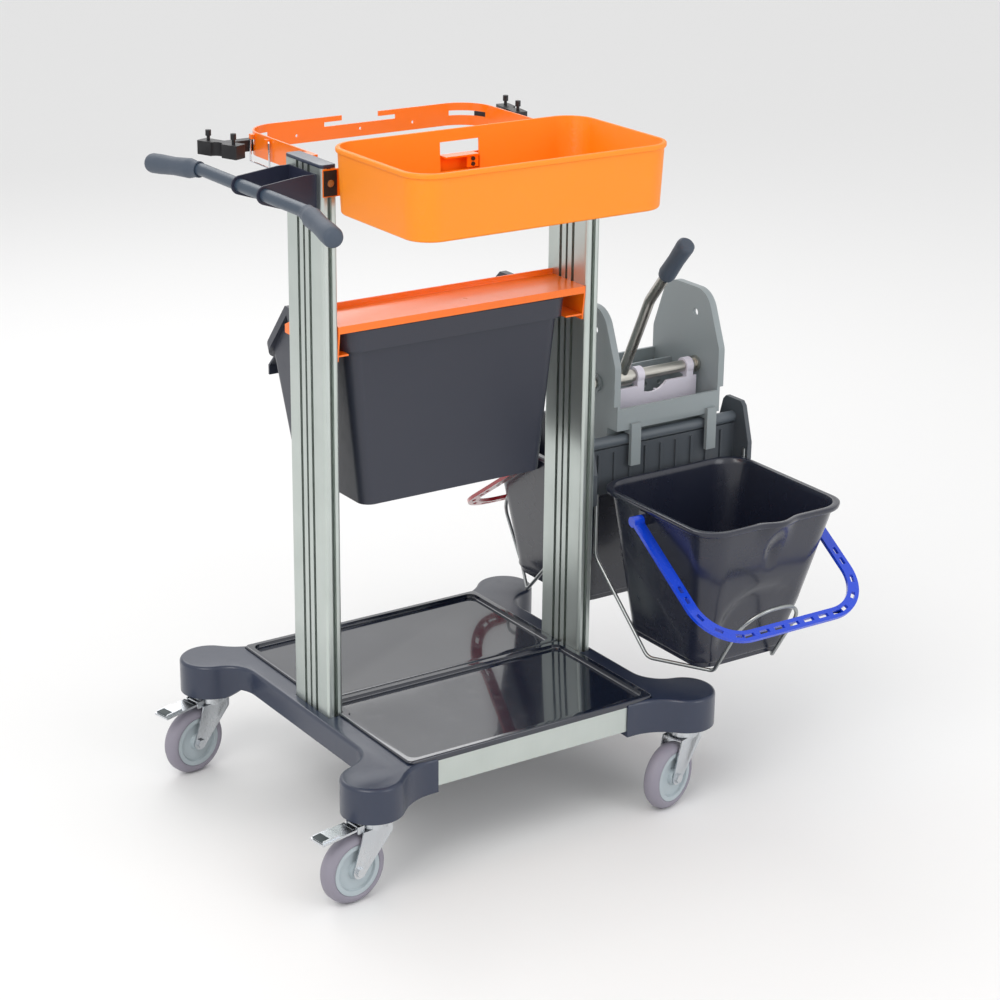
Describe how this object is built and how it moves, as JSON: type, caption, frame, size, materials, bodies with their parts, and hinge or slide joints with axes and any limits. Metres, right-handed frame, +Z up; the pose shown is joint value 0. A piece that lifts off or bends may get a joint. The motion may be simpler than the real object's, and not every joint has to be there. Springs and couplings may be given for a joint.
{
  "type": "housekeeping cart",
  "caption": "Wheeled cleaning cart: deck on swivel casters, two grooved posts, orange top tray and bag frame, sliding bin, twin buckets with lever press and a push handle.",
  "frame": {"origin": "on the floor, midway between the four caster swivel axes", "axes": "+X to the bucket end, -X to the push handle, -Y to the top tray side, +Z up"},
  "size_m": [1.1148, 0.8474, 1.24],
  "materials": {
    "navy_plastic": "moulded, fine satin texture",
    "deck_plastic": "mirror gloss moulding",
    "profile_aluminium": "satin anodised, drawn lines along the length",
    "handle_paint": "powder coat",
    "bracket_paint": "powder coat",
    "grip_plastic": "fine moulded texture",
    "tray_plastic": "moulded, fine linen texture",
    "orange_paint": "powder coat",
    "black_plastic": "moulded",
    "bright_wire": "bright plated wire",
    "zinc_steel": "bright zinc plate",
    "hub_plastic": "moulded, satin",
    "grey_tyre": "non-marking rubber",
    "bucket_plastic": "moulded, semi-gloss",
    "blue_plastic": "moulded",
    "red_plastic": "moulded",
    "carrier_paint": "powder coat",
    "holder_plastic": "moulded",
    "grey_tube": "powder coat",
    "cradle_wire": "plated wire",
    "press_plastic": "moulded, satin",
    "lever_steel": "zinc plated tube",
    "plate_plastic": "moulded"
  },
  "bodies": {
    "cart": {"foot_left": "navy_plastic", "foot_right": "navy_plastic", "post_caps": "navy_plastic", "deck_tray_front": "deck_plastic", "deck_tray_rear": "deck_plastic", "post_left": "profile_aluminium", "post_right": "profile_aluminium", "rail_front": "profile_aluminium", "rail_rear": "profile_aluminium", "handle_bar": "handle_paint", "handle_bracket": "bracket_paint", "handle_grip_front": "grip_plastic", "handle_grip_rear": "grip_plastic", "top_tray": "tray_plastic", "bag_frame": "orange_paint", "bin_bracket": "orange_paint", "tray_rail": "orange_paint", "tool_holder_left": "black_plastic", "tool_holder_right": "black_plastic", "holder_pegs": "black_plastic", "tray_spacers": "black_plastic", "black_screws": "black_plastic", "steel_screws": "zinc_steel", "post_bolts": "zinc_steel", "caster_heads": "zinc_steel", "bucket_carrier": "carrier_paint", "press_holder": "holder_plastic", "holder_tube": "grey_tube", "wire_cradle_front": "cradle_wire", "wire_cradle_rear": "cradle_wire"},
    "bin": {"storage_bin": "navy_plastic"},
    "bucket_front_body": {"bucket_front": "bucket_plastic"},
    "bucket_rear_body": {"bucket_rear": "bucket_plastic"},
    "bail_front": {"bucket_bail_front": "blue_plastic"},
    "bail_rear": {"bucket_bail_rear": "red_plastic"},
    "press": {"press_body": "press_plastic"},
    "press_arm": {"press_shaft": "lever_steel", "press_lever": "lever_steel", "press_grip": "grip_plastic", "press_plate": "plate_plastic"},
    "clip_left": {"bag_clip_left": "bright_wire"},
    "clip_right": {"bag_clip_right": "bright_wire"},
    "pedal_front_left": {"brake_pedal_front_left": "zinc_steel"},
    "pedal_rear_left": {"brake_pedal_rear_left": "zinc_steel"},
    "caster_front_left": {"caster_fork_front_left": "zinc_steel", "caster_axle_front_left": "zinc_steel"},
    "wheel_front_left": {"caster_hub_front_left": "hub_plastic", "caster_tyre_front_left": "grey_tyre"},
    "caster_rear_left": {"caster_fork_rear_left": "zinc_steel", "caster_axle_rear_left": "zinc_steel"},
    "wheel_rear_left": {"caster_hub_rear_left": "hub_plastic", "caster_tyre_rear_left": "grey_tyre"},
    "caster_front_right": {"caster_fork_front_right": "zinc_steel", "caster_axle_front_right": "zinc_steel"},
    "wheel_front_right": {"caster_hub_front_right": "hub_plastic", "caster_tyre_front_right": "grey_tyre"},
    "caster_rear_right": {"caster_fork_rear_right": "zinc_steel", "caster_axle_rear_right": "zinc_steel"},
    "wheel_rear_right": {"caster_hub_rear_right": "hub_plastic", "caster_tyre_rear_right": "grey_tyre"}
  },
  "joints": [
    {"name": "caster_swivel_front_left", "type": "hinge", "parent": "cart", "child": "caster_front_left", "pos_m": [-0.3295, -0.2943, 0.15], "axis": [0, 0, 1], "continuous": true},
    {"name": "wheel_spin_front_left", "type": "hinge", "parent": "caster_front_left", "child": "wheel_front_left", "pos_m": [-0.37317, -0.29966, 0.0625], "axis": [-0.1219, 0.9925, 0], "continuous": true},
    {"name": "brake_front_left", "type": "hinge", "parent": "caster_front_left", "child": "pedal_front_left", "pos_m": [-0.36722, -0.29893, 0.1385], "axis": [0.1219, -0.9925, 0], "range_deg": [0, 8]},
    {"name": "caster_swivel_rear_left", "type": "hinge", "parent": "cart", "child": "caster_rear_left", "pos_m": [-0.3295, 0.2943, 0.15], "axis": [0, 0, 1], "continuous": true},
    {"name": "wheel_spin_rear_left", "type": "hinge", "parent": "caster_rear_left", "child": "wheel_rear_left", "pos_m": [-0.37254, 0.28515, 0.0625], "axis": [-0.2079, 0.9781, 0], "continuous": true},
    {"name": "brake_rear_left", "type": "hinge", "parent": "caster_rear_left", "child": "pedal_rear_left", "pos_m": [-0.36667, 0.2864, 0.1385], "axis": [0.2079, -0.9781, 0], "range_deg": [0, 8]},
    {"name": "caster_swivel_front_right", "type": "hinge", "parent": "cart", "child": "caster_front_right", "pos_m": [0.3295, -0.2943, 0.15], "axis": [0, 0, 1], "continuous": true},
    {"name": "wheel_spin_front_right", "type": "hinge", "parent": "caster_front_right", "child": "wheel_front_right", "pos_m": [0.28742, -0.30716, 0.0625], "axis": [-0.2924, 0.9563, 0], "continuous": true},
    {"name": "caster_swivel_rear_right", "type": "hinge", "parent": "cart", "child": "caster_rear_right", "pos_m": [0.3295, 0.2943, 0.15], "axis": [0, 0, 1], "continuous": true},
    {"name": "wheel_spin_rear_right", "type": "hinge", "parent": "caster_rear_right", "child": "wheel_rear_right", "pos_m": [0.28617, 0.28666, 0.0625], "axis": [-0.1736, 0.9848, 0], "continuous": true},
    {"name": "bin_slide", "type": "slide", "parent": "cart", "child": "bin", "axis": [0, 1, 0], "range_m": [0, 0.15]},
    {"name": "bucket_front_lift", "type": "slide", "parent": "cart", "child": "bucket_front_body", "axis": [0, 0, 1], "range_m": [0, 0.15]},
    {"name": "bucket_rear_lift", "type": "slide", "parent": "cart", "child": "bucket_rear_body", "axis": [0, 0, 1], "range_m": [0, 0.04]},
    {"name": "bail_front_swing", "type": "hinge", "parent": "bucket_front_body", "child": "bail_front", "pos_m": [0.476, -0.178, 0.512], "axis": [-1, 0, 0], "range_deg": [0, 80]},
    {"name": "bail_rear_swing", "type": "hinge", "parent": "bucket_rear_body", "child": "bail_rear", "pos_m": [0.476, 0.178, 0.512], "axis": [1, 0, 0], "range_deg": [0, 104]},
    {"name": "press_lift_off", "type": "slide", "parent": "cart", "child": "press", "axis": [0, 0, 1], "range_m": [0, 0.2]},
    {"name": "press_lever_pull", "type": "hinge", "parent": "press", "child": "press_arm", "pos_m": [0.488, 0.054, 0.7], "axis": [1, 0, 0], "range_deg": [0, 50], "stiffness_Nm_per_rad": 3, "springref_deg": -34.38},
    {"name": "bag_clip_left_swing", "type": "hinge", "parent": "cart", "child": "clip_left", "pos_m": [-0.245, 0.209, 1.195], "axis": [0, 1, 0], "range_deg": [0, 35]},
    {"name": "bag_clip_right_swing", "type": "hinge", "parent": "cart", "child": "clip_right", "pos_m": [0.245, 0.209, 1.195], "axis": [0, -1, 0], "range_deg": [0, 35]}
  ]
}
